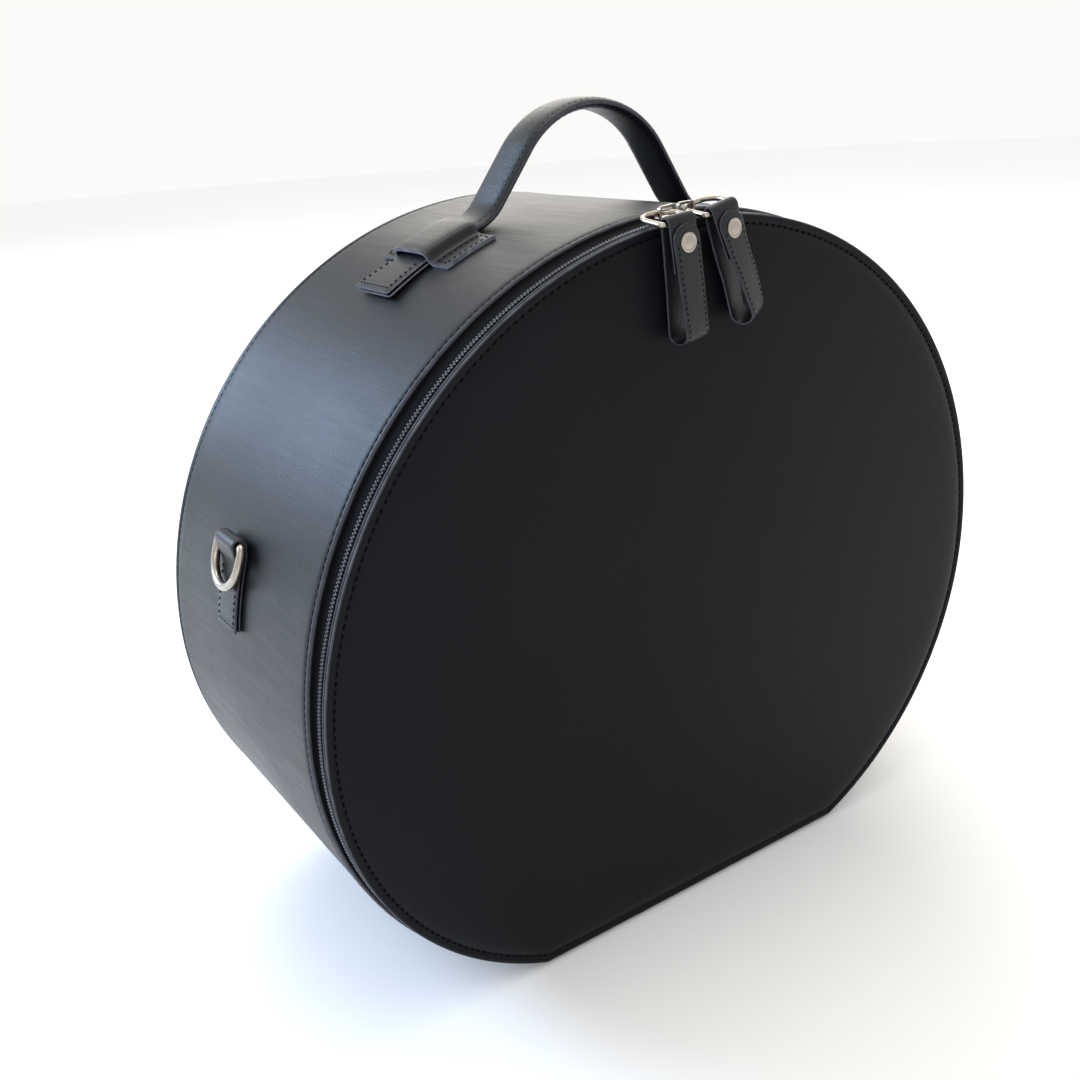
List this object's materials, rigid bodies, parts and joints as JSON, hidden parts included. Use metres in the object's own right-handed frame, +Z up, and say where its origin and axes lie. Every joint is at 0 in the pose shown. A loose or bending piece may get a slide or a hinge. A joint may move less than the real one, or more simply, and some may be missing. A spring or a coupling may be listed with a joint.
{
  "type": "hat box",
  "caption": "Round faux leather hat box on a flat base, with a zipped round lid, a top handle, loop zip pulls and side D-rings.",
  "frame": {"origin": "on the floor under the middle of the whole box", "axes": "+X to the box's right seen from the front, +Y to the back, +Z up"},
  "size_m": [0.4064, 0.1996, 0.4019],
  "materials": {
    "leather": "smooth, satin, fine grain",
    "board": "matt grey board",
    "lining": "matt woven",
    "foam": "matt open foam",
    "zip_tape": "matt twill",
    "zip_coil": "polished nylon coil",
    "nickel": "polished nickel plate"
  },
  "bodies": {
    "drum": {"hoop_board": "board", "base_board": "board", "back_board": "board", "side_cover": "leather", "base_cover": "leather", "back_cover": "leather", "side_lining": "lining", "back_lining": "lining", "rim_binding": "leather", "body_zip_tape": "zip_tape", "body_zip_coil": "zip_coil", "hinge_strip": "leather", "handle_keeper_left": "leather", "handle_keeper_right": "leather", "d_ring_tab_left": "leather", "d_ring_tab_right": "leather"},
    "lid": {"lid_board": "board", "lid_lining": "lining", "lid_edge_band": "leather", "lid_padding": "foam", "lid_cover": "leather", "lid_zip_tape": "zip_tape", "lid_zip_coil": "zip_coil"},
    "handle": {"handle_grip": "leather", "handle_leg_left": "leather", "handle_leg_right": "leather"},
    "slider_left": {"zip_slider_left": "nickel"},
    "slider_ring_left": {"zip_ring_left": "nickel"},
    "pull_left": {"zip_pull_left": "leather", "pull_rivet_left": "nickel"},
    "slider_right": {"zip_slider_right": "nickel"},
    "slider_ring_right": {"zip_ring_right": "nickel"},
    "pull_right": {"zip_pull_right": "leather", "pull_rivet_right": "nickel"},
    "tail_left": {"handle_tail_left": "leather"},
    "tail_right": {"handle_tail_right": "leather"},
    "d_ring_left": {"d_ring_left": "nickel"},
    "d_ring_right": {"d_ring_right": "nickel"}
  },
  "joints": [
    {"name": "lid_hinge", "type": "hinge", "parent": "drum", "child": "lid", "pos_m": [0, -0.07317, 0.0056], "axis": [1, 0, 0], "range_deg": [0, 85], "deforming": ["hinge_strip"]},
    {"name": "slider_left_travel", "type": "hinge", "parent": "lid", "child": "slider_left", "pos_m": [0, -0.07664, 0.15296], "axis": [0, -0.9997, -0.0236], "range_deg": [0, 85]},
    {"name": "ring_left_lift", "type": "hinge", "parent": "slider_left", "child": "slider_ring_left", "pos_m": [-0.0151, -0.07912, 0.35569], "axis": [-0.7098, 0.7042, 0.0164], "range_deg": [0, 40]},
    {"name": "pull_left_swing", "type": "hinge", "parent": "slider_ring_left", "child": "pull_left", "pos_m": [-0.02157, -0.09382, 0.35349], "axis": [-0.9962, 0, -0.0872], "range_deg": [0, 150]},
    {"name": "slider_right_travel", "type": "hinge", "parent": "lid", "child": "slider_right", "pos_m": [0, -0.07664, 0.15296], "axis": [0, 0.9997, 0.0236], "range_deg": [0, 88]},
    {"name": "ring_right_lift", "type": "hinge", "parent": "slider_right", "child": "slider_ring_right", "pos_m": [-0.00468, -0.07913, 0.3562], "axis": [-0.6788, -0.6993, -0.2238], "range_deg": [0, 40]},
    {"name": "pull_right_swing", "type": "hinge", "parent": "slider_ring_right", "child": "pull_right", "pos_m": [0.00204, -0.09388, 0.35597], "axis": [-0.9781, 0, -0.2079], "range_deg": [0, 150]},
    {"name": "handle_drop", "type": "slide", "parent": "drum", "child": "handle", "axis": [0, 0, 1], "range_m": [-0.028, 0.008], "deforming": ["handle_leg_left", "handle_leg_right"]},
    {"name": "tail_left_slide", "type": "hinge", "parent": "drum", "child": "tail_left", "pos_m": [0, 0.01583, 0.153], "axis": [0, 1, 0], "range_deg": [-6.1, 1.8]},
    {"name": "tail_right_slide", "type": "hinge", "parent": "drum", "child": "tail_right", "pos_m": [0, 0.01583, 0.153], "axis": [0, -1, 0], "range_deg": [-6.1, 1.8]},
    {"name": "d_ring_left_swing", "type": "hinge", "parent": "drum", "child": "d_ring_left", "pos_m": [-0.1937, 0.01583, 0.22658], "axis": [0, 1, 0], "range_deg": [0, 150]},
    {"name": "d_ring_right_swing", "type": "hinge", "parent": "drum", "child": "d_ring_right", "pos_m": [0.1937, 0.01583, 0.22658], "axis": [0, -1, 0], "range_deg": [0, 150]}
  ],
  "couplings": [
    {"joint": "tail_left_slide", "follows": "handle_drop", "rad_per_m": 3.75},
    {"joint": "tail_right_slide", "follows": "handle_drop", "rad_per_m": 3.75}
  ]
}
